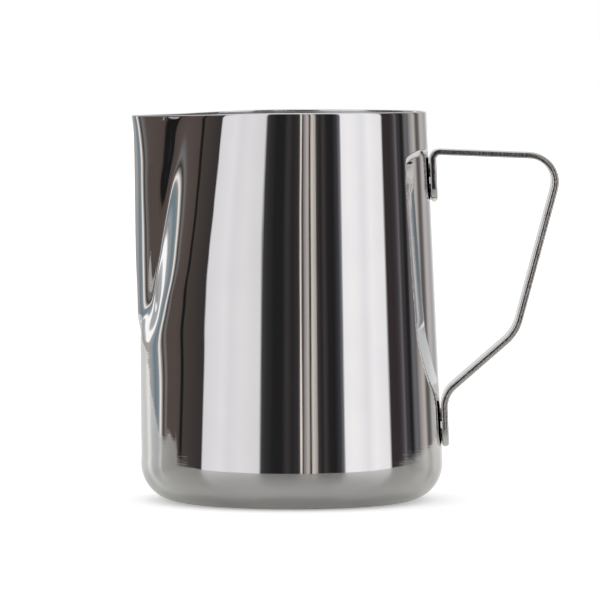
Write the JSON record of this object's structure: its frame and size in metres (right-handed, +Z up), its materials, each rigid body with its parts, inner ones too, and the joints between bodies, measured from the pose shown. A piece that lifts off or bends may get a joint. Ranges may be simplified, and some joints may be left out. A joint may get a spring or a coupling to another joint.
{
  "type": "milk frothing pitcher",
  "caption": "Steel jug with a round base, a pressed V-shaped pouring spout and a bent flat-strip handle spot-welded to the side opposite the spout.",
  "frame": {"origin": "centre of the flat base, on the surface that the pitcher stands on and on the axis of the round body", "axes": "+Z up along the body's axis, the spout points to -X, the handle is at +X"},
  "size_m": [0.127, 0.09, 0.1159],
  "materials": {
    "jug_steel": "mirror polished outside with very fine vertical polishing lines, fine satin inside",
    "strap_steel": "polished, with rounded and slightly duller edges",
    "weld_steel": "plain fused steel, slightly heat-tinted at its rim"
  },
  "bodies": {
    "root": {"jug_body": "jug_steel", "handle_strap": "strap_steel", "upper_spot_welds": "weld_steel", "lower_spot_welds": "weld_steel"}
  },
  "joints": []
}
